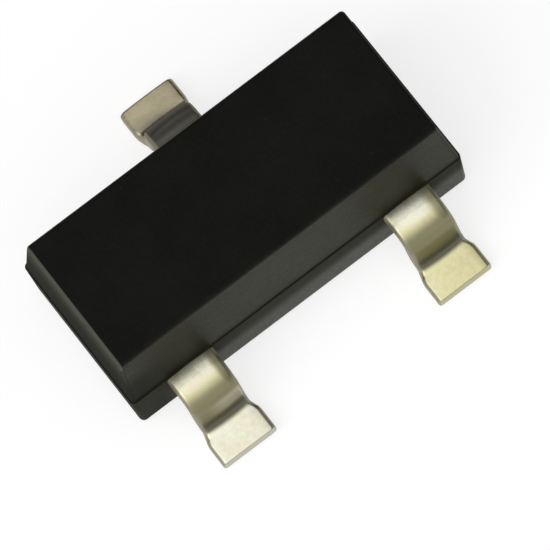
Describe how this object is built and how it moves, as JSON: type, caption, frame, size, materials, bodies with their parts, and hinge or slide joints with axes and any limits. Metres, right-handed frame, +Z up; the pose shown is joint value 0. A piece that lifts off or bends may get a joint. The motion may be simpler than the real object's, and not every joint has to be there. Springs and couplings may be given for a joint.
{
  "type": "sot-23 transistor",
  "caption": "Small black moulded transistor for surface mounting, with drafted walls and tin-plated gull-wing leads on both long sides. It switches or amplifies a current.",
  "frame": {"origin": "on the seating plane, under the middle of the body", "axes": "+X along the body, -Y towards the side with two leads, +Z up from the board"},
  "size_m": [0.0028, 0.0026, 0.0011],
  "materials": {
    "moulding_compound": "matt black filled epoxy, finely eroded top and smoother walls",
    "tin_plate": "satin tin plating with a warm tone",
    "silicon": "polished dark grey",
    "die_bond": "silver-filled bond layer",
    "bond_wire": "drawn gold-coloured wire"
  },
  "bodies": {
    "root": {"mould_body": "moulding_compound", "base_lead": "tin_plate", "emitter_lead": "tin_plate", "collector_lead": "tin_plate", "silicon_die": "silicon", "die_attach": "die_bond", "base_wire": "bond_wire", "emitter_wire": "bond_wire"}
  },
  "joints": []
}
